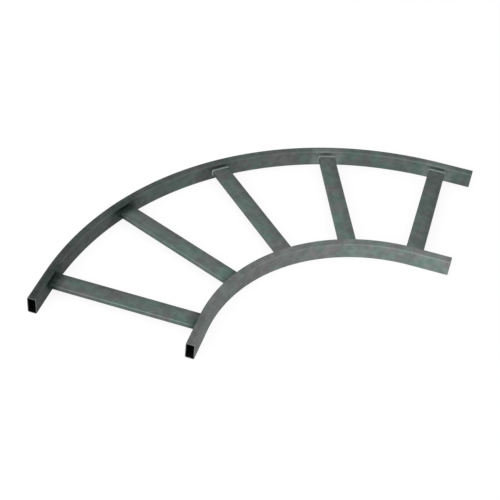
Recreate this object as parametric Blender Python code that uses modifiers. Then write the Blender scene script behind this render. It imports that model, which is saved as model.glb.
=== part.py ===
"""Ladder cable tray bend: a flat bend of two rectangular tube side rails joined by five folded rungs.

Metres, +Z up. The tray lies flat on its side rails, and the world origin is at the bottom centre of its
bounding box. The bend centre is an empty, and every piece is placed from it: the near end of the tray is
cut square across -X and runs towards -Y, and the bend turns clockwise from there, seen from above.
"""

import math

import bmesh
import bpy
from mathutils import Matrix, Vector

# Bend
TRAY_WIDTH = 0.450  # over both side rails
BEND_RADIUS = 0.450  # bend centre to the near face of the inner rail
BEND_ANGLE = math.radians(90.0)
STRAIGHT_END = 0.105  # straight run before and after the bend

# Side rail, a rectangular tube with open ends
RAIL_HEIGHT = 0.050
RAIL_WIDTH = 0.025
RAIL_WALL = 0.002
RAIL_CORNER_RADIUS = 0.004  # outside of a corner

# Rung, a shallow channel with lips, open below
RUNG_COUNT = 5
RUNG_WIDTH = 0.050
RUNG_HEIGHT = 0.015
RUNG_LIP = 0.010  # along the underside, measured over the fold
RUNG_SHEET = 0.002
RUNG_FOLD_RADIUS = 0.003  # outside of a fold

# Fit between the coped rung ends and the rail faces that they are welded to
SEAT_GAP = 0.0003

# Roundness of the mesh
ARC_STEPS = 60
CORNER_STEPS = 3
SMOOTH_ANGLE = math.radians(40.0)

# Finish: dull galvanised steel, sRGB
RAIL_COLOUR = (104, 112, 108)
RUNG_COLOUR = (101, 110, 105)
METALLIC = 0.6
ROUGHNESS = 0.55

OUTER_RAIL_RADIUS = BEND_RADIUS + TRAY_WIDTH - RAIL_WIDTH


def clear_scene():
    for obj in list(bpy.data.objects):
        bpy.data.objects.remove(obj)


def new_collection(name):
    collection = bpy.data.collections.new(name)
    bpy.context.scene.collection.children.link(collection)
    return collection


def linear(channel):
    """One sRGB channel, 0 to 255, as the linear value that a shader takes."""
    share = channel / 255.0
    return share / 12.92 if share <= 0.04045 else ((share + 0.055) / 1.055) ** 2.4


def galvanised_steel(name, colour):
    material = bpy.data.materials.new(name)
    material.use_nodes = True
    shader = material.node_tree.nodes["Principled BSDF"]
    shader.inputs["Base Color"].default_value = (*map(linear, colour), 1.0)
    shader.inputs["Metallic"].default_value = METALLIC
    shader.inputs["Roughness"].default_value = ROUGHNESS
    return material


def plan_turn(angle):
    """Clockwise turn about the bend centre, seen from above."""
    return Matrix.Rotation(-angle, 4, "Z")


def draw_line(bm, points, closed=False):
    """Draw a line of edges through the points, back to the first if closed, and return the edges."""
    corners = [bm.verts.new(point) for point in points]
    ends = corners[1:] + corners[:1] if closed else corners[1:]
    return [bm.edges.new(pair) for pair in zip(corners, ends)]


def run_straight(bm, edges, step):
    """Pull the edges along a straight step, leaving faces behind, and return the edges at its far end."""
    pulled = bmesh.ops.extrude_edge_only(bm, edges=edges)["geom"]
    moved = [item for item in pulled if isinstance(item, bmesh.types.BMVert)]
    bmesh.ops.translate(bm, verts=moved, vec=step)
    return [item for item in pulled if isinstance(item, bmesh.types.BMEdge)]


def run_round(bm, edges, angle):
    """Swing the edges round the bend centre, leaving faces behind, and return the edges at its far end."""
    swung = bmesh.ops.spin(
        bm, geom=edges, cent=(0.0, 0.0, 0.0), axis=(0.0, 0.0, -1.0), angle=angle, steps=ARC_STEPS
    )
    return [item for item in swung["geom_last"] if isinstance(item, bmesh.types.BMEdge)]


def skin_object(name, bm, collection):
    """Turn a drawn skin into an object, its faces all looking the same way."""
    bmesh.ops.recalc_face_normals(bm, faces=bm.faces)
    mesh = bpy.data.meshes.new(name)
    bm.to_mesh(mesh)
    bm.free()
    obj = bpy.data.objects.new(name, mesh)
    collection.objects.link(obj)
    return obj


def give_wall(obj, wall, corner_radius):
    """Round the corners of a skin that lies at mid wall, and thicken it to the full wall."""
    corners = obj.modifiers.new("corners", "BEVEL")
    corners.limit_method = "ANGLE"
    corners.angle_limit = math.radians(45.0)
    corners.width = corner_radius - wall / 2.0
    corners.segments = CORNER_STEPS

    thickness = obj.modifiers.new("thickness", "SOLIDIFY")
    thickness.thickness = wall
    thickness.offset = 0.0
    thickness.use_even_offset = True


def settle_mesh(obj, material):
    """Make the modifiers part of the mesh, shade its corners smooth and give it its finish."""
    depsgraph = bpy.context.evaluated_depsgraph_get()
    mesh = bpy.data.meshes.new_from_object(obj.evaluated_get(depsgraph))
    mesh.name = obj.name
    obj.modifiers.clear()
    obj.data = mesh
    mesh.shade_smooth()
    mesh.set_sharp_from_angle(angle=SMOOTH_ANGLE)
    mesh.materials.append(material)


def sweep_rail(bm, near_radius, inset):
    """Sweep a rail's outside, drawn in by the inset, and return the edges round its two open ends."""
    low = inset
    high = RAIL_HEIGHT - inset
    near_face = near_radius + inset
    far_face = near_radius + RAIL_WIDTH - inset
    section = [(near_face, low), (far_face, low), (far_face, high), (near_face, high)]
    first = draw_line(bm, [(-radius, -STRAIGHT_END, height) for radius, height in section], closed=True)
    ahead = Vector((0.0, STRAIGHT_END, 0.0))
    front = run_straight(bm, first, ahead)
    front = run_round(bm, front, BEND_ANGLE)
    last = run_straight(bm, front, plan_turn(BEND_ANGLE) @ ahead)
    return first + last


def side_rail(name, near_radius, bend_centre, parts):
    """Rectangular tube, its near face at the given distance from the bend centre."""
    bm = bmesh.new()
    sweep_rail(bm, near_radius, RAIL_WALL / 2.0)
    rail = skin_object(name, bm, parts)
    rail.parent = bend_centre
    give_wall(rail, RAIL_WALL, RAIL_CORNER_RADIUS)
    settle_mesh(rail, galvanised_steel(name, RAIL_COLOUR))
    return rail


def seat_cutter(name, near_radius, bend_centre, cutters):
    """Closed block of a rail's outside and the gap round it, which copes the rungs to the rail."""
    bm = bmesh.new()
    rims = sweep_rail(bm, near_radius, -SEAT_GAP)
    bmesh.ops.edgeloop_fill(bm, edges=rims)
    cutter = skin_object(name, bm, cutters)
    cutter.parent = bend_centre
    cutter.hide_render = True
    cutter.display_type = "WIRE"
    return cutter


def rung_section():
    """Mid-sheet corners of a rung, lip to lip, as pairs of place across the rung and height."""
    side = (RUNG_WIDTH - RUNG_SHEET) / 2.0
    lip_end = RUNG_WIDTH / 2.0 - RUNG_LIP
    low = (RAIL_HEIGHT - RUNG_HEIGHT + RUNG_SHEET) / 2.0
    high = (RAIL_HEIGHT + RUNG_HEIGHT - RUNG_SHEET) / 2.0
    return [(-lip_end, low), (-side, low), (-side, high), (side, high), (side, low), (lip_end, low)]


def rung(name, angle, seats, bend_centre, parts):
    """Straight rung from the middle of one rail to the middle of the other, then coped to both."""
    start = BEND_RADIUS + RAIL_WIDTH / 2.0
    end = OUTER_RAIL_RADIUS + RAIL_WIDTH / 2.0
    bm = bmesh.new()
    front = draw_line(bm, [(start, across, height) for across, height in rung_section()])
    run_straight(bm, front, Vector((end - start, 0.0, 0.0)))
    made = skin_object(name, bm, parts)
    made.parent = bend_centre
    made.rotation_euler.z = angle
    give_wall(made, RUNG_SHEET, RUNG_FOLD_RADIUS)
    for seat in seats:
        cope = made.modifiers.new("cope", "BOOLEAN")
        cope.operation = "DIFFERENCE"
        cope.solver = "EXACT"
        cope.object = seat
    settle_mesh(made, galvanised_steel(name, RUNG_COLOUR))
    return made


def bounding_centre():
    """Middle of the tray's box in plan, from the bend centre."""
    outline = []
    for radius in (BEND_RADIUS, BEND_RADIUS + TRAY_WIDTH):
        outline.append(Vector((-radius, -STRAIGHT_END, 0.0)))
        for step in range(ARC_STEPS + 1):
            outline.append(plan_turn(BEND_ANGLE * step / ARC_STEPS) @ Vector((-radius, 0.0, 0.0)))
        outline.append(plan_turn(BEND_ANGLE) @ Vector((-radius, STRAIGHT_END, 0.0)))
    xs = [point.x for point in outline]
    ys = [point.y for point in outline]
    return Vector(((min(xs) + max(xs)) / 2.0, (min(ys) + max(ys)) / 2.0, 0.0))


def main():
    clear_scene()
    parts = new_collection("cable_tray_bend")
    cutters = new_collection("cutters")

    bend_centre = bpy.data.objects.new("bend_centre", None)
    bend_centre.location = -bounding_centre()
    bend_centre.empty_display_size = BEND_RADIUS / 4.0
    parts.objects.link(bend_centre)

    seats = []
    for side, near_radius in (("outer", OUTER_RAIL_RADIUS), ("inner", BEND_RADIUS)):
        side_rail(f"{side}_side_rail", near_radius, bend_centre, parts)
        seats.append(seat_cutter(f"{side}_rail_seat", near_radius, bend_centre, cutters))
    for index in range(RUNG_COUNT):
        # The first and last rungs stand square across the two ends of the bend
        angle = math.pi - BEND_ANGLE * index / (RUNG_COUNT - 1)
        rung(f"rung_{index + 1}", angle, seats, bend_centre, parts)
    bpy.context.view_layer.update()


main()
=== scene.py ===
"""Looks of a ladder cable tray bend: galvanised tube rails and folded rungs on a plain white floor.

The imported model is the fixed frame. Each rail and rung is drawn again over its node, at the same size, with
rounder corners, eased cut edges and a finer curve, and the welds round the rung ends are added. Every size
that the frame can give is read from it. Metres, +Z up.
"""

import logging
import math
from abc import ABC, abstractmethod
from dataclasses import dataclass, replace
from enum import Enum
from functools import cached_property
from typing import ClassVar

import bmesh
import bpy
from mathutils import Matrix, Vector

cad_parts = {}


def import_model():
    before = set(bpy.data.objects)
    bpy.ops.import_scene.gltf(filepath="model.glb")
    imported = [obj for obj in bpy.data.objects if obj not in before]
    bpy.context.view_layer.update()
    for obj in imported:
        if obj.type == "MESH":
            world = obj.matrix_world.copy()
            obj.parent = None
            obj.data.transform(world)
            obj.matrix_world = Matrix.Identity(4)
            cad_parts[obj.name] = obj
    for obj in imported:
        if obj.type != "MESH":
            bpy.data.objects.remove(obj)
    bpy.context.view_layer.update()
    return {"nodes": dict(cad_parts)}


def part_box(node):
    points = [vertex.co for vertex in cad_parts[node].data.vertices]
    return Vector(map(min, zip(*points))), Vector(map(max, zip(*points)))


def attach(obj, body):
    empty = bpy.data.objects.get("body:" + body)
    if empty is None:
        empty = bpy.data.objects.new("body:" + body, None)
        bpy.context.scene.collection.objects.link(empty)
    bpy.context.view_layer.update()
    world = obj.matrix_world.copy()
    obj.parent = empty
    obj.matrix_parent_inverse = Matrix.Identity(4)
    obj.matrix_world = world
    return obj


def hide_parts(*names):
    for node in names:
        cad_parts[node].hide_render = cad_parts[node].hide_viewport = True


LOG = logging.getLogger("cable_tray_bend")
MM = 0.001
QUARTER_TURN = math.pi / 2.0
SMOOTH_ANGLE = math.radians(35.0)

# Vectors at each vertex of the steel: its place on the flat sheet, and the way that the rolls ran
SHEET_PLACE = "sheet_place"
GRAIN_LINE = "grain_line"

# Sockets of a Mix node for colours, by number: its share, its two colours, and what comes out
SHARE = 0
FIRST = 6
SECOND = 7
MIXED = 2

Socket = bpy.types.NodeSocket
Row = list[bmesh.types.BMVert]


class Side(Enum):
    """A side rail, by the way from it to the rungs: 1 is away from the bend centre."""

    INNER = 1.0
    OUTER = -1.0


class Mark(Enum):
    """A mark laid over the zinc's tone, from rubbed edges to painted light and shade, and how it shows."""

    # Painted shade: darker towards the rails' ends and on their tops, along the rungs' far edges and towards
    # their ends
    PAINTED_SHADE = ("painted_shade", 0.2, 1.0)
    # Rubbed corners and cut edges, and painted light on the rails and rungs beside some joints
    RUBBED_AND_PAINTED_LIGHT = ("rubbed_and_painted_light", 0.6, 0.8)
    # Painted shadow where the rungs meet the rails, and round those joints
    PAINTED_JOINT_SHADOW = ("painted_joint_shadow", 0.4, 1.0)
    # Painted shade inside the tubes and under the rungs' channels
    INSIDE = ("inside", 0.0, 0.95)

    def __init__(self, key: str, breakup: float, most: float) -> None:
        """Name the three values.

        Args:
            key: Name of the share that each vertex holds, from 0 to 1.
            breakup: Part of the mark that the crystals break up.
            most: How far its tone covers the zinc where the share is 1.
        """
        self.key = key
        self.breakup = breakup
        self.most = most


def linear_colour(colour: str) -> tuple[float, float, float, float]:
    """Turn an sRGB hex colour into the linear colour that a shader takes.

    Args:
        colour: Six hex digits with a leading #.

    Returns:
        Linear red, green and blue, and an alpha of 1.
    """
    shares = [int(colour[at : at + 2], 16) / 255.0 for at in (1, 3, 5)]
    red, green, blue = (s / 12.92 if s <= 0.04045 else ((s + 0.055) / 1.055) ** 2.4 for s in shares)
    return red, green, blue, 1.0


def add_node(
    tree: bpy.types.NodeTree, kind: str, inputs: dict[str | int, object] | None = None, **settings: object
) -> bpy.types.Node:
    """Add one node with its settings and links.

    Args:
        tree: The node tree that gets the node.
        kind: Type name of the node.
        inputs: What each of its inputs takes, a fixed value or an output socket, by name or number.
        settings: The node's own properties.

    Returns:
        The new node.
    """
    node = tree.nodes.new(kind)
    for name, setting in settings.items():
        setattr(node, name, setting)
    for name, source in (inputs or {}).items():
        if isinstance(source, Socket):
            tree.links.new(source, node.inputs[name])
        else:
            node.inputs[name].default_value = source
    return node


def new_object(name: str, bm: bmesh.types.BMesh) -> bpy.types.Object:
    """Put a finished mesh into the scene as an object.

    Args:
        name: Name of the object and of its mesh.
        bm: The mesh, which is used up.

    Returns:
        The new object.
    """
    mesh = bpy.data.meshes.new(name)
    bm.to_mesh(mesh)
    bm.free()
    made = bpy.data.objects.new(name, mesh)
    bpy.context.scene.collection.objects.link(made)
    return made


def dress(piece: bpy.types.Object, finish: bpy.types.Material) -> None:
    """Finish a piece, shade it smooth up to its sharp edges, and tie it to the frame.

    Args:
        piece: The piece.
        finish: The material of the whole piece.
    """
    piece.data.materials.append(finish)
    piece.data.shade_smooth()
    piece.data.set_sharp_from_angle(angle=SMOOTH_ANGLE)
    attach(piece, "root")


@dataclass(frozen=True)
class ZincCoat:
    """Hot dip galvanised steel: dull grey zinc over cold formed steel.

    To the eye it is a matt, slightly green grey with faint crystals, wide clouds of warmer grey, patches
    where the zinc ran thicker, and fine lines from the forming rolls. It is lighter where edges are rubbed
    and with painted light beside some welds, darker with painted shade towards the ends, on top and across
    the rungs, darker still with painted shadow where rungs meet rails, and nearly black with painted shade
    inside the tubes.
    """

    name: str
    tone: str
    cloud_tone: str
    # Tones of painted shade, of rubbed edges with painted light, of painted shade inside, and of painted
    # shadow at the joints
    painted_shade_tone: str
    rubbed_and_painted_light_tone: str
    inside_tone: str
    painted_joint_shadow_tone: str
    metallic: float = 0.85
    roughness: float = 0.52
    gloss_spread: float = 0.06
    # Rolling stretches the highlights across the grain
    anisotropy: float = 0.5
    # The dull film keeps edges seen at a slant from going white, as bare metal would
    edge_tone: str = "#e1e1e1"
    crystal: float = 8.0 * MM
    crystal_contrast: float = 0.07
    cloud: float = 55.0 * MM
    patch: float = 20.0 * MM
    patch_contrast: float = 0.12
    # How far about its middle a noise is read, so that blotches are soft but full
    blotch_range: float = 0.15
    # Real roll lines lie well under a millimetre apart; they are drawn coarser, so that they show
    roll_line: float = 3.0 * MM
    roll_run: float = 200.0 * MM
    roll_contrast: float = 0.12
    relief: float = 0.06 * MM
    # Height of the crystals in the relief, where the roll lines have 1
    crystal_height: float = 0.5
    relief_strength: float = 0.6

    def build(self) -> bpy.types.Material:
        """Make the material, with its patterns sized in metres on the steel.

        Returns:
            The material.
        """
        material = bpy.data.materials.new(self.name)
        material.use_nodes = True
        tree = material.node_tree
        shader = tree.nodes["Principled BSDF"]
        shader.inputs["Metallic"].default_value = self.metallic
        shader.inputs["Anisotropic"].default_value = self.anisotropy
        shader.inputs["Specular Tint"].default_value = linear_colour(self.edge_tone)
        wiring = ZincWiring(self, tree)
        tree.links.new(wiring.colour(), shader.inputs["Base Color"])
        tree.links.new(wiring.gloss(), shader.inputs["Roughness"])
        tree.links.new(wiring.bump(), shader.inputs["Normal"])
        grain = add_node(tree, "ShaderNodeAttribute", attribute_name=GRAIN_LINE)
        tree.links.new(grain.outputs["Vector"], shader.inputs["Tangent"])
        return material


class ZincWiring:
    """Nodes of one zinc coat: its patterns, and what they do to its colour, gloss and relief."""

    def __init__(self, coat: ZincCoat, tree: bpy.types.NodeTree) -> None:
        """Lay out the patterns that the rest of the tree reads.

        Args:
            coat: Tones and sizes of the coat.
            tree: The material's node tree.
        """
        self.coat = coat
        self.tree = tree
        self.place = add_node(tree, "ShaderNodeTexCoord").outputs["Object"]
        self.crystals = self._crystals()
        self.clouds = self._blotches(coat.cloud)
        self.patches = self._blotches(coat.patch)
        self.lines = self._roll_lines()

    def _crystals(self) -> Socket:
        """Draw the zinc crystals.

        Returns:
            A shade of grey for each crystal, from 0 to 1.
        """
        cells = {"Scale": 1.0 / self.coat.crystal, "Vector": self.place}
        colours = add_node(self.tree, "ShaderNodeTexVoronoi", cells).outputs["Color"]
        return add_node(self.tree, "ShaderNodeSeparateColor", {"Color": colours}).outputs[0]

    def _blotches(self, size: float) -> Socket:
        """Draw soft blotches, where the coat cooled slower or ran thicker.

        Args:
            size: Usual size of a blotch.

        Returns:
            The blotches, from 0 to 1.
        """
        cloudy = {"Scale": 1.0 / size, "Detail": 3.0, "Roughness": 0.55, "Vector": self.place}
        noise = add_node(self.tree, "ShaderNodeTexNoise", cloudy).outputs["Fac"]
        reach = self.coat.blotch_range
        spread = {"From Min": 0.5 - reach, "From Max": 0.5 + reach, "Value": noise}
        soft = add_node(self.tree, "ShaderNodeMapRange", spread, interpolation_type="SMOOTHSTEP")
        return soft.outputs["Result"]

    def _roll_lines(self) -> Socket:
        """Draw the fine lines that the forming rolls left along the steel.

        Returns:
            The lines, from 0 to 1.
        """
        place = add_node(self.tree, "ShaderNodeAttribute", attribute_name=SHEET_PLACE)
        scale = (1.0 / self.coat.roll_run, 1.0 / self.coat.roll_line, 1.0)
        drawn_out = {0: place.outputs["Vector"], 1: scale}
        stretched = add_node(self.tree, "ShaderNodeVectorMath", drawn_out, operation="MULTIPLY")
        fine = {"Scale": 1.0, "Detail": 2.0, "Roughness": 0.6, "Vector": stretched.outputs["Vector"]}
        return add_node(self.tree, "ShaderNodeTexNoise", fine, noise_dimensions="2D").outputs["Fac"]

    def _shade(self, under: Socket, pattern: Socket, contrast: float) -> Socket:
        """Lighten and darken the colour so far by a pattern.

        Args:
            under: The colour so far.
            pattern: The pattern, from 0 to 1.
            contrast: Most that it takes off or adds.

        Returns:
            The new colour.
        """
        about_one = {"To Min": 1.0 - contrast, "To Max": 1.0 + contrast, "Value": pattern}
        factor = add_node(self.tree, "ShaderNodeMapRange", about_one).outputs["Result"]
        shaded = add_node(self.tree, "ShaderNodeVectorMath", {0: under, "Scale": factor}, operation="SCALE")
        return shaded.outputs["Vector"]

    def _lay(self, under: Socket, mark: Mark, tone: str) -> Socket:
        """Lay a mark's tone over the colour so far.

        Args:
            under: The colour so far.
            mark: The mark, which each vertex holds.
            tone: The tone laid over it.

        Returns:
            The new colour.
        """
        marked = add_node(self.tree, "ShaderNodeAttribute", attribute_name=mark.key).outputs["Fac"]
        broken = {"To Min": mark.most * (1.0 - mark.breakup), "To Max": mark.most, "Value": self.crystals}
        cover = add_node(self.tree, "ShaderNodeMapRange", broken).outputs["Result"]
        share = add_node(self.tree, "ShaderNodeMath", {0: marked, 1: cover}, operation="MULTIPLY").outputs[0]
        tones = {SHARE: share, FIRST: under, SECOND: linear_colour(tone)}
        return add_node(self.tree, "ShaderNodeMix", tones, data_type="RGBA").outputs[MIXED]

    def colour(self) -> Socket:
        """Mix the colour of the coat, from its clouds up to its painted shadows and painted shade inside.

        Returns:
            The colour.
        """
        coat = self.coat
        tones = {SHARE: self.clouds, FIRST: linear_colour(coat.tone), SECOND: linear_colour(coat.cloud_tone)}
        zinc = add_node(self.tree, "ShaderNodeMix", tones, data_type="RGBA").outputs[MIXED]
        # Painted shade first, then the crystals, roll lines and patches shade it all
        zinc = self._lay(zinc, Mark.PAINTED_SHADE, coat.painted_shade_tone)
        zinc = self._shade(zinc, self.crystals, coat.crystal_contrast)
        zinc = self._shade(zinc, self.lines, coat.roll_contrast)
        zinc = self._shade(zinc, self.patches, coat.patch_contrast)
        # Rubbed edges with painted light, painted shadow at the joints, and painted shade inside
        zinc = self._lay(zinc, Mark.RUBBED_AND_PAINTED_LIGHT, coat.rubbed_and_painted_light_tone)
        zinc = self._lay(zinc, Mark.PAINTED_JOINT_SHADOW, coat.painted_joint_shadow_tone)
        return self._lay(zinc, Mark.INSIDE, coat.inside_tone)

    def gloss(self) -> Socket:
        """Vary the roughness a little by crystal and by cloud.

        Returns:
            The roughness.
        """
        middle = self.coat.roughness
        spread = self.coat.gloss_spread
        limits = {"To Min": middle - spread, "To Max": middle + spread, "Value": self.crystals}
        crystals = add_node(self.tree, "ShaderNodeMapRange", limits).outputs["Result"]
        terms = {0: self.clouds, 1: spread, 2: crystals}
        return add_node(self.tree, "ShaderNodeMath", terms, operation="MULTIPLY_ADD").outputs[0]

    def bump(self) -> Socket:
        """Raise each crystal to its own height, crossed by the roll lines.

        Returns:
            The normal.
        """
        terms = {0: self.crystals, 1: self.coat.crystal_height, 2: self.lines}
        height = add_node(self.tree, "ShaderNodeMath", terms, operation="MULTIPLY_ADD").outputs[0]
        relief = {"Strength": self.coat.relief_strength, "Distance": self.coat.relief, "Height": height}
        return add_node(self.tree, "ShaderNodeBump", relief).outputs["Normal"]


@dataclass(frozen=True)
class WeldMetal:
    """Arc weld bead: to the eye rougher than the steel, with a fine grain, either darkened as painted shadow
    or lightened as painted light.
    """

    name: str
    tone: str
    grain_tone: str
    metallic: float = 0.8
    roughness: float = 0.62
    grain: float = 1.6 * MM
    relief: float = 0.1 * MM
    relief_strength: float = 0.5

    def build(self) -> bpy.types.Material:
        """Make the material of the beads.

        Returns:
            The material.
        """
        material = bpy.data.materials.new(self.name)
        material.use_nodes = True
        tree = material.node_tree
        shader = tree.nodes["Principled BSDF"]
        shader.inputs["Metallic"].default_value = self.metallic
        shader.inputs["Roughness"].default_value = self.roughness
        place = add_node(tree, "ShaderNodeTexCoord").outputs["Object"]
        fine = {"Scale": 1.0 / self.grain, "Detail": 2.0, "Vector": place}
        noise = add_node(tree, "ShaderNodeTexNoise", fine).outputs["Fac"]
        tones = {SHARE: noise, FIRST: linear_colour(self.grain_tone), SECOND: linear_colour(self.tone)}
        mix = add_node(tree, "ShaderNodeMix", tones, data_type="RGBA")
        tree.links.new(mix.outputs[MIXED], shader.inputs["Base Color"])
        relief = {"Strength": self.relief_strength, "Distance": self.relief, "Height": noise}
        bump = add_node(tree, "ShaderNodeBump", relief)
        tree.links.new(bump.outputs["Normal"], shader.inputs["Normal"])
        return material


@dataclass(frozen=True)
class BendSizes:
    """Sizes of the bend, in metres, most of them read from the frame."""

    centre: Vector
    inside_radius: float
    width: float
    height: float
    straight: float
    rung_width: float
    rung_low: float
    rung_high: float
    rung_count: int
    rail_width: float = 25.0 * MM
    rail_wall: float = 2.0 * MM
    rail_corner: float = 4.0 * MM
    rung_lip: float = 10.0 * MM
    rung_sheet: float = 2.0 * MM
    rung_fold: float = 3.0 * MM
    seat_gap: float = 0.3 * MM

    @classmethod
    def from_frame(cls, nodes: dict[str, bpy.types.Object]) -> "BendSizes":
        """Read the bend's sizes from the boxes of its nodes.

        Args:
            nodes: The frame's nodes by name.

        Returns:
            The sizes.
        """
        rung_count = sum(name.startswith("rung_") for name in nodes)
        outer_low, outer_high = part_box("outer_side_rail")
        inner_low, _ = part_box("inner_side_rail")
        first_low, first_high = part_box("rung_1")
        last_low, last_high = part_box(f"rung_{rung_count}")
        centre = Vector(((last_low.x + last_high.x) / 2.0, (first_low.y + first_high.y) / 2.0, outer_low.z))
        return cls(
            centre=centre,
            inside_radius=centre.x - inner_low.x - cls.rail_width,
            width=inner_low.x + cls.rail_width - outer_low.x,
            height=outer_high.z - outer_low.z,
            straight=outer_high.x - centre.x,
            rung_width=first_high.y - first_low.y,
            rung_low=first_low.z,
            rung_high=first_high.z,
            rung_count=rung_count,
        )

    def rail_radius(self, side: Side) -> float:
        """Find how far a side rail is from the bend centre.

        Args:
            side: The rail.

        Returns:
            Distance to the middle of the rail.
        """
        if side is Side.INNER:
            return self.inside_radius + self.rail_width / 2.0
        return self.inside_radius + self.width - self.rail_width / 2.0

    def seat_reach(self, number: int, side: Side, across: float) -> float:
        """Find the rail face that a rung end meets.

        Args:
            number: The rung.
            side: The rail at this end.
            across: Place across the rung.

        Returns:
            Distance along the rung, from the bend centre to the rail's face.
        """
        radius = self.rail_radius(side) + side.value * self.rail_width / 2.0
        on_first_straight = number == 1 and across > 0.0
        on_last_straight = number == self.rung_count and across < 0.0
        if on_first_straight or on_last_straight:
            return radius
        return math.sqrt(radius**2 - across**2)


@dataclass(frozen=True)
class WallPair:
    """A point on the outer skin of a wall, and the one across the steel from it, in the wall's section."""

    outer: Vector
    inner: Vector
    around: float
    rubbed_and_painted_light: float


@dataclass(frozen=True)
class LinePoint:
    """Point of a wall's middle line: its place, the way to its outer skin, and how rubbed it is."""

    place: Vector
    out: Vector
    rubbed_and_painted_light: float
    around: float = 0.0

    def pair(self, half: float) -> WallPair:
        """Step to both skins, half a wall away."""
        return WallPair(self.place + self.out * half, self.place - self.out * half, self.around, self.rubbed_and_painted_light)


@dataclass(frozen=True)
class WallSection:
    """Section of a tube or a folded strip, from the sharp corners of its middle line.

    The ease is the bevel of a cut edge. The rub is how far beside a corner or a cut the zinc is still rubbed.
    """

    corners: tuple[tuple[float, float], ...]
    closed: bool
    wall: float
    corner_radius: float
    corner_steps: int = 6
    flat_step: float = 5.0 * MM
    ease: float = 0.25 * MM
    rub: float = 1.2 * MM
    rubbed_and_painted_light_corner: float = 0.2
    rubbed_and_painted_light_cut: float = 0.6

    @cached_property
    def line(self) -> list[LinePoint]:
        """Draw the middle line, with round corners and points close together beside them.

        Returns:
            Its points in order, measured along it.
        """
        stretches = self._stretches()
        points = []
        followers = stretches[1:] + (stretches[:1] if self.closed else [])
        for stretch, following in zip(stretches, followers):
            points += stretch + self._flat(stretch[-1], following[0])
        if not self.closed:
            points += stretches[-1]
        measured = []
        around = 0.0
        for index, point in enumerate(points):
            if index:
                around += (point.place - points[index - 1].place).length
            measured.append(replace(point, around=around))
        return measured

    def _stretches(self) -> list[list[LinePoint]]:
        """Round every corner.

        Returns:
            The round corners in order, with the two bare ends of an open line.
        """
        corners = [Vector(corner) for corner in self.corners]
        if self.closed:
            befores = corners[-1:] + corners[:-1]
            afters = corners[1:] + corners[:1]
            return [self._turn(*three) for three in zip(befores, corners, afters)]
        turns = [self._turn(*three) for three in zip(corners, corners[1:], corners[2:])]
        first = LinePoint(corners[0], turns[0][0].out, self.rubbed_and_painted_light_corner)
        last = LinePoint(corners[-1], turns[-1][-1].out, self.rubbed_and_painted_light_corner)
        return [[first], *turns, [last]]

    def _turn(self, before: Vector, corner: Vector, after: Vector) -> list[LinePoint]:
        """Round one square corner.

        Args:
            before: The corner before it.
            corner: The corner itself.
            after: The corner after it.

        Returns:
            Points along the arc.
        """
        radius = self.corner_radius - self.wall / 2.0
        back = (before - corner).normalized()
        ahead = (after - corner).normalized()
        hub = corner + (back + ahead) * radius
        points = []
        for step in range(self.corner_steps + 1):
            turn = QUARTER_TURN * step / self.corner_steps
            out = -ahead * math.cos(turn) - back * math.sin(turn)
            points.append(LinePoint(hub + out * radius, out, self.rubbed_and_painted_light_corner))
        return points

    def _flat(self, start: LinePoint, end: LinePoint) -> list[LinePoint]:
        """Fill a flat stretch with points, the first and last close to its ends.

        Args:
            start: The point before the stretch.
            end: The point after it.

        Returns:
            The points between them.
        """
        way = end.place - start.place
        bare = way.length - 2.0 * self.rub
        count = max(round(bare / self.flat_step), 1)
        reaches = [self.rub + bare * step / count for step in range(count + 1)]
        return [LinePoint(start.place + way.normalized() * reach, start.out, 0.0) for reach in reaches]

    def pairs(self, inset: float) -> list[WallPair]:
        """Step from the middle line to both skins.

        Args:
            inset: How far the section draws in all round, for the eased edge of a cut.

        Returns:
            The pairs in order, with an eased edge at both ends of an open section.
        """
        half = self.wall / 2.0 - inset
        line = self.line
        if self.closed:
            return [point.pair(half) for point in line]
        eased = []
        for end, beside in ((line[0], line[1]), (line[-1], line[-2])):
            inwards = (beside.place - end.place).normalized()
            edge = replace(end, place=end.place + inwards * inset).pair(half - self.ease)
            full = replace(end, place=end.place + inwards * (inset + self.ease)).pair(half)
            eased.append((edge, full))
        (first_edge, first), (last_edge, last) = eased
        return [first_edge, first, *(point.pair(half) for point in line[1:-1]), last, last_edge]


@dataclass(frozen=True)
class Station:
    """One cross-section of a swept wall: its place, how far it draws in, and how rubbed it is by a cut."""

    along: float
    inset: float = 0.0
    cut: float = 0.0


@dataclass(frozen=True)
class CoatPoint:
    """Place of one point of a wall, and what its zinc coat reads there."""

    place: Vector
    grain: Vector
    # Painted shadow round the joints, painted shade, and painted light beside some joints
    painted_joint_shadow: float
    painted_shade: float
    painted_light: float


@dataclass(frozen=True)
class SkinPoint:
    """One vertex of a swept wall, with the pair and the station it came from, and whether it is inside."""

    coat: CoatPoint
    pair: WallPair
    station: Station
    within: bool


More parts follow.
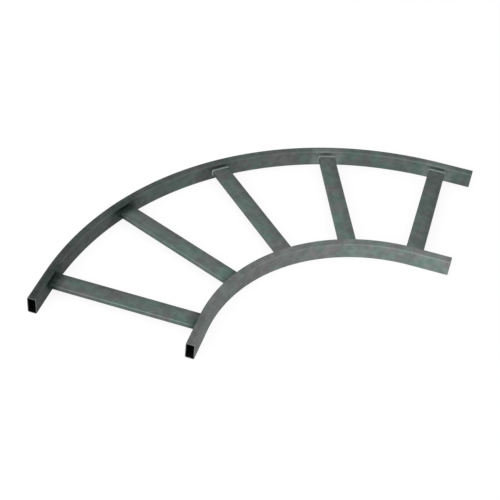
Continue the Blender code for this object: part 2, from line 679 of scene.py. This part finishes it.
@dataclass(frozen=True)
class WallPiece(ABC):
    """A wall swept through its stations, with the marks that its zinc coat reads."""

    sizes: BendSizes

    slot: ClassVar[str]
    form: ClassVar[str]

    @property
    @abstractmethod
    def node(self) -> str:
        """Node that the piece stands for."""

    @property
    def name(self) -> str:
        """Name of the piece, from its node and its form."""
        return f"{self.node}_{self.form}"

    @property
    @abstractmethod
    def section(self) -> WallSection:
        """Section that is swept."""

    @abstractmethod
    def stations(self) -> list[Station]:
        """Cross-sections of the piece in order."""

    @abstractmethod
    def coat_point(self, station: Station, spot: Vector) -> CoatPoint:
        """Place one point of the section at a station."""

    def end_stations(self) -> list[Station]:
        """Stations of a cut end with an eased edge, from the cut inwards."""
        ease, cut = self.section.ease, self.section.rubbed_and_painted_light_cut
        return [Station(0.0, ease, cut), Station(ease, 0.0, cut), Station(self.section.rub)]

    def build(self, finish: bpy.types.Material) -> bpy.types.Object:
        """Sweep, mark and dress the piece, and put it in its node's place.

        Args:
            finish: The material of the whole piece.

        Returns:
            The finished object.
        """
        bm = bmesh.new()
        points = self._sweep(bm)
        piece = new_object(self.name, bm)
        self._mark(piece.data, points)
        dress(piece, finish)
        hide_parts(self.node)
        return piece

    def _sweep(self, bm: bmesh.types.BMesh) -> list[SkinPoint]:
        """Carry the section through the stations, skin both sides and close the cut edges.

        Args:
            bm: The mesh that gets the faces.

        Returns:
            Its vertices in order.
        """
        points = []
        skins = ([], [])
        for station in self.stations():
            rows = ([], [])
            for pair in self.section.pairs(station.inset):
                for within, spot in enumerate((pair.outer, pair.inner)):
                    coat = self.coat_point(station, spot)
                    rows[within].append(bm.verts.new(coat.place))
                    points.append(SkinPoint(coat, pair, station, bool(within)))
            for skin, row in zip(skins, rows):
                skin.append(row)
        outer, inner = skins
        for skin in skins:
            for row, following in zip(skin, skin[1:]):
                self._band(bm, row, following)
        for end in (0, -1):
            self._band(bm, outer[end], inner[end])
        if not self.section.closed:
            for end in (0, -1):
                self._strip(bm, [row[end] for row in outer], [row[end] for row in inner])
        bmesh.ops.recalc_face_normals(bm, faces=bm.faces)
        return points

    def _band(self, bm: bmesh.types.BMesh, row: Row, following: Row) -> None:
        """Lay faces between two rows, round to their start again where the section is closed."""
        wrap = 1 if self.section.closed else 0
        self._strip(bm, row + row[:wrap], following + following[:wrap])

    def _strip(self, bm: bmesh.types.BMesh, row: Row, following: Row) -> None:
        """Lay faces between two open rows."""
        for a, b, c, d in zip(row, row[1:], following[1:], following):
            bm.faces.new((a, b, c, d))

    def _mark(self, mesh: bpy.types.Mesh, points: list[SkinPoint]) -> None:
        """Write what the zinc coat reads at each vertex.

        Args:
            mesh: The swept mesh.
            points: Its vertices in order.
        """
        vectors = {
            SHEET_PLACE: [(point.station.along, point.pair.around, 0.0) for point in points],
            GRAIN_LINE: [tuple(point.coat.grain) for point in points],
        }
        # Rubbed edges with painted light at some joints, painted shade inside, painted shadow at the joints,
        # and painted shade
        shares = {
            Mark.RUBBED_AND_PAINTED_LIGHT: [max(point.pair.rubbed_and_painted_light, point.station.cut, point.coat.painted_light) for point in points],
            Mark.INSIDE: [float(point.within and not point.station.cut) for point in points],
            Mark.PAINTED_JOINT_SHADOW: [point.coat.painted_joint_shadow for point in points],
            Mark.PAINTED_SHADE: [point.coat.painted_shade for point in points],
        }
        for name, values in vectors.items():
            flat = [number for value in values for number in value]
            mesh.attributes.new(name, "FLOAT_VECTOR", "POINT").data.foreach_set("vector", flat)
        for mark, values in shares.items():
            mesh.attributes.new(mark.key, "FLOAT", "POINT").data.foreach_set("value", values)


@dataclass(frozen=True)
class PaintedJointMark:
    """Patch on a rail round the joint of one rung: either painted shadow that darkens it, or painted light
    that lightens it.

    The drift is how far the mark lies from the rung towards the near end. The wrap is how readily it goes
    round behind the rail, where 1 is as readily as along its face.
    """

    rung: int
    strength: float
    drift: float = 0.0
    reach: float = 34.0 * MM
    wrap: float = 1.0
    # Over 1, so that the mark is full for a little way before it fades
    fullness: float = 1.4

    def share(self, beside: float, above: float, behind: float) -> float:
        """Share of the mark so far beside the rung, over or under it, and behind the rail's face."""
        away = math.hypot(beside, above, behind / self.wrap) / self.reach
        return self.strength * min(max(self.fullness * (1.0 - away), 0.0), 1.0)


@dataclass(frozen=True)
class PaintedRailShading:
    """Painted light and shade on a side rail: painted shadow and painted light round its joints with the
    rungs, and painted shade at its ends and on top.

    The painted shade is full at the near end and fades along the rail by the near power. Past the far start,
    a share of the rail's length, it rises again to the far share at the far end.
    """

    painted_joint_shadows: tuple[PaintedJointMark, ...]
    painted_light: tuple[PaintedJointMark, ...] = ()
    near_power: float = 1.5
    far_start: float = 0.8
    far_share: float = 0.0
    top_share: float = 0.27


@dataclass(frozen=True)
class SideRail(WallPiece):
    """Side rail: a rectangular tube, bent flat through a quarter turn, with both ends cut square and open."""

    side: Side
    painted_shading: PaintedRailShading
    step: float = 6.0 * MM

    slot: ClassVar[str] = "rail_steel"
    form: ClassVar[str] = "tube"

    @property
    def node(self) -> str:
        """Node that the rail stands for."""
        return f"{self.side.name.lower()}_side_rail"

    @cached_property
    def radius(self) -> float:
        """Bend centre to the middle of the rail."""
        return self.sizes.rail_radius(self.side)

    @cached_property
    def arc(self) -> float:
        """Length of the bent part, along its middle."""
        return self.radius * QUARTER_TURN

    @cached_property
    def section(self) -> WallSection:
        """Draw the section of the tube.

        Returns:
            The section, as distance from the bend centre and height.
        """
        sizes = self.sizes
        reach = (sizes.rail_width - sizes.rail_wall) / 2.0
        low = sizes.rail_wall / 2.0
        high = sizes.height - low
        near = self.radius - reach
        far = self.radius + reach
        corners = ((near, low), (far, low), (far, high), (near, high))
        return WallSection(corners, True, sizes.rail_wall, sizes.rail_corner)

    def stations(self) -> list[Station]:
        """Set out the straight, the curve and the other straight.

        Returns:
            The stations, measured along the rail from where the curve starts.
        """
        straight = self.sizes.straight
        ends = self.end_stations()
        first = [replace(station, along=station.along - straight) for station in ends]
        last = [replace(station, along=self.arc + straight - station.along) for station in reversed(ends)]
        on_straight = [self.step * number for number in range(1, int(straight / self.step))]
        before = [Station(-along) for along in reversed(on_straight)]
        after = [Station(self.arc + along) for along in on_straight]
        count = round(self.arc / self.step)
        curve = [Station(self.arc * number / count) for number in range(count + 1)]
        return [*first, *before, *curve, *after, *last]

    def coat_point(self, station: Station, spot: Vector) -> CoatPoint:
        """Place one point of the section at a station.

        Args:
            station: The station.
            spot: Distance from the bend centre, and height.

        Returns:
            The point.
        """
        on_curve = min(max(station.along, 0.0), self.arc)
        turn = on_curve / self.radius
        ahead = Vector((math.sin(turn), math.cos(turn), 0.0))
        out = Vector((-ahead.y, ahead.x, 0.0))
        place = self.sizes.centre + out * spot.x + ahead * (station.along - on_curve)
        place.z += spot.y
        # Painted shade, painted shadow round the rung joints, and painted light beside some of them
        painted_shade = self._painted_shade(station.along, spot.y)
        painted_joint_shadows = self._painted_joint_marks(self.painted_shading.painted_joint_shadows, station.along, spot)
        painted_light = self._painted_joint_marks(self.painted_shading.painted_light, station.along, spot)
        return CoatPoint(place, ahead, painted_joint_shadows, painted_shade, painted_light)

    def _painted_shade(self, along: float, height: float) -> float:
        """Work out how much painted shade the rail has at one place.

        Args:
            along: Distance along the rail.
            height: Height over its underside.

        Returns:
            Share from 0 to 1.
        """
        painted_shading = self.painted_shading
        passed = min((along + self.sizes.straight) / (self.arc + 2.0 * self.sizes.straight), 1.0)
        far = max((passed - painted_shading.far_start) / (1.0 - painted_shading.far_start), 0.0)
        ends = (1.0 - passed) ** painted_shading.near_power + painted_shading.far_share * far
        top = max(1.0 - (self.sizes.height - height) / self.sizes.rail_corner, 0.0)
        return 1.0 - (1.0 - ends) * (1.0 - painted_shading.top_share * top)

    def _painted_joint_marks(self, marks: tuple[PaintedJointMark, ...], along: float, spot: Vector) -> float:
        """Find the strongest of the painted marks round the rung joints at one place.

        Args:
            marks: The marks.
            along: Distance along the rail.
            spot: Distance from the bend centre, and height.

        Returns:
            Share of the mark, from 0 to 1.
        """
        sizes = self.sizes
        above = max(spot.y - sizes.rung_high, sizes.rung_low - spot.y, 0.0)
        behind = sizes.rail_width / 2.0 - (spot.x - self.radius) * self.side.value
        shares = [0.0]
        for mark in marks:
            middle = self.arc * (mark.rung - 1) / (sizes.rung_count - 1) - mark.drift
            beside = max(abs(along - middle) - sizes.rung_width / 2.0, 0.0)
            shares.append(mark.share(beside, above, behind))
        return max(shares)


@dataclass(frozen=True)
class PaintedEndShading:
    """Painted light and shade on a rung towards one rail: painted shadow and painted light at the joint, and
    painted shade that grows towards it.

    Painted shadow over 1 is full for a little way before it fades.
    """

    painted_end_shadow: float = 0.0
    painted_light: float = 0.0
    painted_shade: float = 0.0


@dataclass(frozen=True)
class Rung(WallPiece):
    """Rung: a straight shallow channel with lips, open below, its ends coped to the rails' faces.

    The weld reach is how far from an end the joint's painted shadow and painted light reach, where the
    sections stand closer.
    """

    number: int
    painted_shading: dict[Side, PaintedEndShading]
    weld_reach: float = 32.0 * MM
    weld_steps: int = 8
    step: float = 12.0 * MM
    # Painted shade along the edge towards the far end of the tray
    far_edge_painted_shade: float = 0.5

    slot: ClassVar[str] = "rung_steel"
    form: ClassVar[str] = "sheet"

    @property
    def node(self) -> str:
        """Node that the rung stands for."""
        return f"rung_{self.number}"

    @cached_property
    def out(self) -> Vector:
        """Direction away from the bend centre: along -X for rung 1, and along +Y for the last."""
        angle = math.pi - QUARTER_TURN * (self.number - 1) / (self.sizes.rung_count - 1)
        return Vector((math.cos(angle), math.sin(angle), 0.0))

    @cached_property
    def across(self) -> Vector:
        """Direction across the rung, towards the near end of the tray."""
        return Vector((-self.out.y, self.out.x, 0.0))

    @cached_property
    def length(self) -> float:
        """Length of the rung along its middle."""
        return self.end_reach(Side.OUTER, 0.0) - self.end_reach(Side.INNER, 0.0)

    @cached_property
    def section(self) -> WallSection:
        """Draw the section of the folded sheet.

        Returns:
            The section, as place across the rung and height.
        """
        sizes = self.sizes
        side = (sizes.rung_width - sizes.rung_sheet) / 2.0
        lip_end = sizes.rung_width / 2.0 - sizes.rung_lip
        low = sizes.rung_low + sizes.rung_sheet / 2.0
        high = sizes.rung_high - sizes.rung_sheet / 2.0
        corners = ((-lip_end, low), (-side, low), (-side, high), (side, high), (side, low), (lip_end, low))
        return WallSection(corners, False, sizes.rung_sheet, sizes.rung_fold)

    def end_reach(self, side: Side, across: float) -> float:
        """Distance from the bend centre to one coped end, at a place across the rung."""
        return self.sizes.seat_reach(self.number, side, across) + side.value * self.sizes.seat_gap

    def place(self, reach: float, spot: Vector) -> Vector:
        """Place of a spot of the section, so far from the bend centre along the rung."""
        return self.sizes.centre + self.out * reach + self.across * spot.x + Vector((0.0, 0.0, spot.y))

    def stations(self) -> list[Station]:
        """Set out the eased cut, the sections near the weld, even steps, and the same at the other end.

        Returns:
            The stations, measured from the inner rail.
        """
        steps = range(1, self.weld_steps + 1)
        near_weld = [Station(self.weld_reach * number / self.weld_steps) for number in steps]
        start = [*self.end_stations(), *near_weld]
        bare = self.length - 2.0 * self.weld_reach
        count = round(bare / self.step)
        middle = [Station(self.weld_reach + bare * number / count) for number in range(1, count)]
        end = [replace(station, along=self.length - station.along) for station in reversed(start)]
        return [*start, *middle, *end]

    def coat_point(self, station: Station, spot: Vector) -> CoatPoint:
        """Place one point of the section at a station.

        Args:
            station: The station.
            spot: Place across the rung, and height.

        Returns:
            The point.
        """
        start = self.end_reach(Side.INNER, spot.x)
        end = self.end_reach(Side.OUTER, spot.x)
        reach = start + (end - start) * station.along / self.length
        # Painted shadow and painted light at the joints, and painted shade along the far edge and towards
        # each rail
        painted_end_shadow = 0.0
        painted_light = 0.0
        painted_shade = self.far_edge_painted_shade * max(-2.0 * spot.x / self.sizes.rung_width, 0.0)
        for side, to_end in ((Side.INNER, reach - start), (Side.OUTER, end - reach)):
            painted_shading = self.painted_shading[side]
            near = max(1.0 - to_end / self.weld_reach, 0.0)
            painted_end_shadow += min(near * painted_shading.painted_end_shadow, 1.0)
            painted_light += near * painted_shading.painted_light
            painted_shade += (1.0 - to_end / (end - start)) * painted_shading.painted_shade
        return CoatPoint(self.place(reach, spot), self.out, painted_end_shadow, painted_shade, painted_light)


@dataclass(frozen=True)
class RungWeld:
    """Fillet weld round one end of a rung, from under one lip, over the top, to under the other.

    Its face is a little hollow and rippled, it thins out at both ends, and its root lies inside the steel.
    """

    rung: Rung
    side: Side
    leg: float = 3.5 * MM
    root: float = 0.4 * MM
    hollow: float = 0.16
    ripple: float = 2.4 * MM
    ripple_share: float = 0.07
    step: float = 0.5 * MM
    face_steps: int = 6
    taper: float = 4.0 * MM
    least_leg: float = 0.2 * MM

    @property
    def name(self) -> str:
        """Name of the bead, from its rung and its rail."""
        return f"rung_{self.rung.number}_weld_{self.side.name.lower()}"

    def build(self, finish: bpy.types.Material) -> bpy.types.Object:
        """Lay the bead.

        Args:
            finish: The material of the bead.

        Returns:
            The finished object.
        """
        bm = bmesh.new()
        rings = [self._ring(bm, *stop) for stop in self._path()]
        for ring, following in zip(rings, rings[1:]):
            for at in range(len(ring)):
                bm.faces.new((ring[at - 1], ring[at], following[at], following[at - 1]))
        bm.faces.new(rings[0])
        bm.faces.new(rings[-1])
        bmesh.ops.recalc_face_normals(bm, faces=bm.faces)
        weld = new_object(self.name, bm)
        dress(weld, finish)
        return weld

    def _path(self) -> list[tuple[Vector, Vector, float]]:
        """Follow the rung's outer skin in even steps.

        Returns:
            For each stop: its place in the section, the way out of the skin, and the bead's leg there.
        """
        pairs = self.rung.section.pairs(0.0)[1:-1]
        skin = [(pair.outer, (pair.outer - pair.inner).normalized()) for pair in pairs]
        reaches = [0.0]
        for (before, _), (after, _) in zip(skin, skin[1:]):
            reaches.append(reaches[-1] + (after - before).length)
        length = reaches[-1]
        count = round(length / self.step)
        stops = []
        at = 0
        for number in range(count + 1):
            reach = length * number / count
            while reaches[at + 1] < reach and at < len(reaches) - 2:
                at += 1
            share = (reach - reaches[at]) / (reaches[at + 1] - reaches[at])
            place = skin[at][0].lerp(skin[at + 1][0], share)
            out = skin[at][1].lerp(skin[at + 1][1], share).normalized()
            to_end = min(min(reach, length - reach) / self.taper, 1.0)
            wave = 1.0 + self.ripple_share * math.cos(2.0 * math.pi * reach / self.ripple)
            stops.append((place, out, max(self.leg * math.sqrt(to_end) * wave, self.least_leg)))
        return stops

    def _ring(self, bm: bmesh.types.BMesh, place: Vector, out: Vector, leg: float) -> Row:
        """Draw a section of the bead: its face across the corner, and a root just under both skins.

        Args:
            bm: The mesh that gets the points.
            place: Place on the rung's outer skin, in its section.
            out: The way out of that skin, in the section.
            leg: Reach of the bead over each skin.

        Returns:
            Points of the ring.
        """
        spots = [(-self.root, -self.root), (leg, -self.root)]
        for step in range(self.face_steps + 1):
            turn = QUARTER_TURN * step / self.face_steps
            full = leg * (1.0 - self.hollow * math.sin(2.0 * turn))
            spots.append((full * math.cos(turn), full * math.sin(turn)))
        spots.append((-self.root, leg))
        return [bm.verts.new(self._point(place + out * above, away)) for away, above in spots]

    def _point(self, spot: Vector, away: float) -> Vector:
        """Point of the bead at a spot of the rung's section, so far from the rail's face."""
        reach = self.rung.sizes.seat_reach(self.rung.number, self.side, spot.x)
        return self.rung.place(reach + self.side.value * away, spot)


@dataclass(frozen=True)
class SoftLamp:
    """A square soft box, in metres and watts, aimed at the middle of the tray."""

    name: str
    place: tuple[float, float, float]
    size: float
    power: float

    def build(self) -> None:
        """Hang the lamp."""
        light = bpy.data.lights.new(self.name, "AREA")
        light.shape = "SQUARE"
        light.size = self.size
        light.energy = self.power
        lamp = bpy.data.objects.new(self.name, light)
        lamp.location = self.place
        lamp.rotation_mode = "QUATERNION"
        lamp.rotation_quaternion = (-Vector(self.place)).to_track_quat("-Z", "Y")
        bpy.context.scene.collection.objects.link(lamp)


@dataclass(frozen=True)
class Studio:
    """White floor, white room, soft light, and the camera where the photographer stood.

    The floor's paint has one tone that lights the tray, and a darker one under the glow that the camera sees,
    so that the floor shows white and the tray's shadow on it stays soft and pale.
    """

    azimuth: float = math.radians(12.174)
    elevation: float = math.radians(41.714)
    roll: float = math.radians(6.950)
    distance: float = 2.970
    aim: tuple[float, float, float] = (-0.0410, -0.0574, 0.0)
    lens: float = 76.53
    sensor: float = 36.0
    floor_reach: float = 30.0
    floor_drop: float = 0.2 * MM
    floor_tone: str = "#dadada"
    shadow_tone: str = "#818181"
    floor_glow: float = 0.86
    room_tone: str = "#ffffff"
    room_level: float = 0.56
    lamps: tuple[SoftLamp, ...] = (
        SoftLamp("front_soft_box", (-0.9, -3.0, 0.9), size=3.0, power=80.0),
        SoftLamp("top_soft_box", (0.4, 0.6, 2.8), size=1.6, power=3.0),
    )

    def build(self) -> None:
        """Set up the whole studio."""
        self._floor()
        self._room()
        for lamp in self.lamps:
            lamp.build()
        self._camera()
        bpy.context.scene.view_settings.view_transform = "Standard"

    def _seen(self, tree: bpy.types.NodeTree) -> Socket:
        """Tell what the camera sees, directly, in gloss or through glass, from what only lights the tray.

        Args:
            tree: The node tree that asks.

        Returns:
            1 for what is seen, and 0 for the rest.
        """
        path = add_node(tree, "ShaderNodeLightPath")
        seen = path.outputs["Is Camera Ray"]
        for name in ("Is Glossy Ray", "Is Transmission Ray"):
            either = {0: seen, 1: path.outputs[name]}
            seen = add_node(tree, "ShaderNodeMath", either, operation="MAXIMUM").outputs[0]
        return seen

    def _floor(self) -> None:
        """Lay a pale matt floor that shows white and keeps a soft shadow."""
        bm = bmesh.new()
        bmesh.ops.create_grid(bm, x_segments=1, y_segments=1, size=self.floor_reach)
        floor = new_object("floor", bm)
        floor.location.z = -self.floor_drop

        paint = bpy.data.materials.new("matt white floor paint")
        paint.use_nodes = True
        tree = paint.node_tree
        tree.nodes.clear()
        shadowed = add_node(tree, "ShaderNodeBsdfDiffuse", {"Color": linear_colour(self.shadow_tone)})
        glow = add_node(tree, "ShaderNodeEmission", {"Strength": self.floor_glow})
        white = add_node(tree, "ShaderNodeAddShader", {0: shadowed.outputs[0], 1: glow.outputs[0]})
        plain = add_node(tree, "ShaderNodeBsdfDiffuse", {"Color": linear_colour(self.floor_tone)})
        either = {0: self._seen(tree), 1: plain.outputs[0], 2: white.outputs[0]}
        mix = add_node(tree, "ShaderNodeMixShader", either)
        add_node(tree, "ShaderNodeOutputMaterial", {"Surface": mix.outputs[0]})
        floor.data.materials.append(paint)

    def _room(self) -> None:
        """Light evenly from all round, at the room's level, behind a white that the camera sees."""
        world = bpy.data.worlds.new("white room")
        world.use_nodes = True
        bpy.context.scene.world = world
        tree = world.node_tree
        tree.nodes.clear()
        levels = {"To Min": self.room_level, "To Max": 1.0, "Value": self._seen(tree)}
        strength = add_node(tree, "ShaderNodeMapRange", levels).outputs["Result"]
        shine = {"Color": linear_colour(self.room_tone), "Strength": strength}
        light = add_node(tree, "ShaderNodeBackground", shine)
        add_node(tree, "ShaderNodeOutputWorld", {"Surface": light.outputs[0]})

    def _camera(self) -> None:
        """Put the camera at the photograph's place, turned a little about its axis as the photograph is."""
        flat = math.cos(self.elevation)
        from_tray = (math.sin(self.azimuth) * flat, -math.cos(self.azimuth) * flat, math.sin(self.elevation))
        back = Vector(from_tray)
        level = Vector((math.cos(self.azimuth), math.sin(self.azimuth), 0.0))
        upright = back.cross(level)
        right = level * math.cos(self.roll) + upright * math.sin(self.roll)
        up = upright * math.cos(self.roll) - level * math.sin(self.roll)
        place = Vector(self.aim) + back * self.distance
        camera = bpy.data.objects.new("camera", bpy.data.cameras.new("camera"))
        camera.data.lens = self.lens
        camera.data.sensor_width = self.sensor
        camera.matrix_world = Matrix([(*row,) for row in zip(right, up, back, place)] + [(0, 0, 0, 1)])
        bpy.context.scene.collection.objects.link(camera)
        bpy.context.scene.camera = camera


def zinc_coats() -> tuple[dict[Side, ZincCoat], ZincCoat]:
    """Choose the zinc coats: one bath, in painted light and shade, from light on the inner rail to dark on
    the outer.

    Returns:
        The coats of the two rails, and the coat of the rungs.
    """
    outer = ZincCoat(
        "outer rail steel, cold formed tube, hot dip galvanised",
        # Darker than the inner rail's grey: painted shade out across the bend
        tone="#61746d",
        cloud_tone="#6d6e6d",
        # Tones of painted shade, of rubbed edges with painted light, of painted shade inside, and of painted
        # shadow at the joints
        painted_shade_tone="#373a39",
        rubbed_and_painted_light_tone="#8d9793",
        inside_tone="#101211",
        painted_joint_shadow_tone="#1c3129",
    )
    inner = replace(
        outer,
        name="inner rail steel, cold formed tube, hot dip galvanised",
        # Lighter grey: painted light near the bend centre
        tone="#798c86",
        cloud_tone="#848584",
        painted_shade_tone="#646665",
        rubbed_and_painted_light_tone="#878f8b",
    )
    rung = replace(
        outer,
        name="rung steel, roll formed strip, hot dip galvanised",
        # Between the rails' greys: painted shade part way out across the bend
        tone="#62776f",
        cloud_tone="#6f706f",
        painted_shade_tone="#535a57",
        rubbed_and_painted_light_tone="#7f8884",
        inside_tone="#2a2e2c",
    )
    return {Side.OUTER: outer, Side.INNER: inner}, rung


def painted_rail_shading(side: Side) -> PaintedRailShading:
    """Give the painted light and shade of a side rail, as the photograph shows it.

    Args:
        side: The rail.

    Returns:
        Its painted light and shade.
    """
    if side is Side.INNER:
        # Painted shadow round the joints of rungs 1 and 2
        return PaintedRailShading(painted_joint_shadows=(PaintedJointMark(1, 0.3), PaintedJointMark(2, 0.15)))
    return PaintedRailShading(
        # Painted shadow round the joints of rungs 1 to 3, painted light round rungs 3 to 5, and painted shade
        # rising at the far end
        painted_joint_shadows=(
            PaintedJointMark(1, 1.0, reach=38.0 * MM, wrap=0.7),
            PaintedJointMark(2, 0.8, drift=8.0 * MM, reach=42.0 * MM, wrap=0.8),
            PaintedJointMark(3, 0.5, drift=8.0 * MM, reach=46.0 * MM, wrap=2.0),
        ),
        painted_light=(PaintedJointMark(3, 0.3), PaintedJointMark(4, 1.0), PaintedJointMark(5, 0.8)),
        far_share=0.22,
    )


def painted_rung_shading(number: int) -> dict[Side, PaintedEndShading]:
    """Give the painted light and shade of a rung, as the photograph shows it.

    Args:
        number: The rung, counted from the near end.

    Returns:
        Its painted light and shade towards each rail.
    """
    # Painted shadow, painted light and painted shade towards each end of each rung
    outer = {
        1: PaintedEndShading(painted_end_shadow=1.3, painted_shade=0.55),
        2: PaintedEndShading(painted_end_shadow=1.3, painted_shade=0.4),
        3: PaintedEndShading(painted_end_shadow=0.1, painted_light=1.0, painted_shade=0.55),
        4: PaintedEndShading(painted_light=0.9, painted_shade=0.6),
        5: PaintedEndShading(painted_light=0.9, painted_shade=0.95),
    }
    inner = {
        1: PaintedEndShading(painted_end_shadow=0.9, painted_shade=0.05),
        2: PaintedEndShading(painted_end_shadow=0.8),
        5: PaintedEndShading(painted_light=0.8, painted_shade=0.4),
    }
    return {Side.OUTER: outer.get(number, PaintedEndShading()), Side.INNER: inner.get(number, PaintedEndShading())}


def main() -> None:
    """Load the frame, dress it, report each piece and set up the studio."""
    logging.basicConfig(level=logging.INFO, format="%(message)s")
    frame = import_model()
    sizes = BendSizes.from_frame(frame["nodes"])

    pieces = []
    rail_coats, rung_coat = zinc_coats()
    for side, coat in rail_coats.items():
        pieces.append(SideRail(sizes, side, painted_rail_shading(side)).build(coat.build()))
    rung_zinc = rung_coat.build()
    # Weld beads darkened as painted shadow, and weld beads lightened as painted light
    shadowed_weld_metal = WeldMetal("weld metal, arc welded, left sooty", "#2c3833", "#1b2421").build()
    painted_light_weld_metal = WeldMetal("weld metal, arc welded, brushed clean, zinc sprayed", "#929d98", "#77827d").build()
    for number in range(1, sizes.rung_count + 1):
        rung = Rung(sizes, number, painted_rung_shading(number))
        pieces.append(rung.build(rung_zinc))
        for side in Side:
            painted_shading = rung.painted_shading[side]
            pieces.append(RungWeld(rung, side).build(shadowed_weld_metal if painted_shading.painted_end_shadow > painted_shading.painted_light else painted_light_weld_metal))
    for piece in pieces:
        LOG.info("%s: %d faces", piece.name, len(piece.data.polygons))

    studio = Studio()
    studio.build()
    LOG.info("studio: %d lamps", len(studio.lamps))


if __name__ == "__main__":
    main()
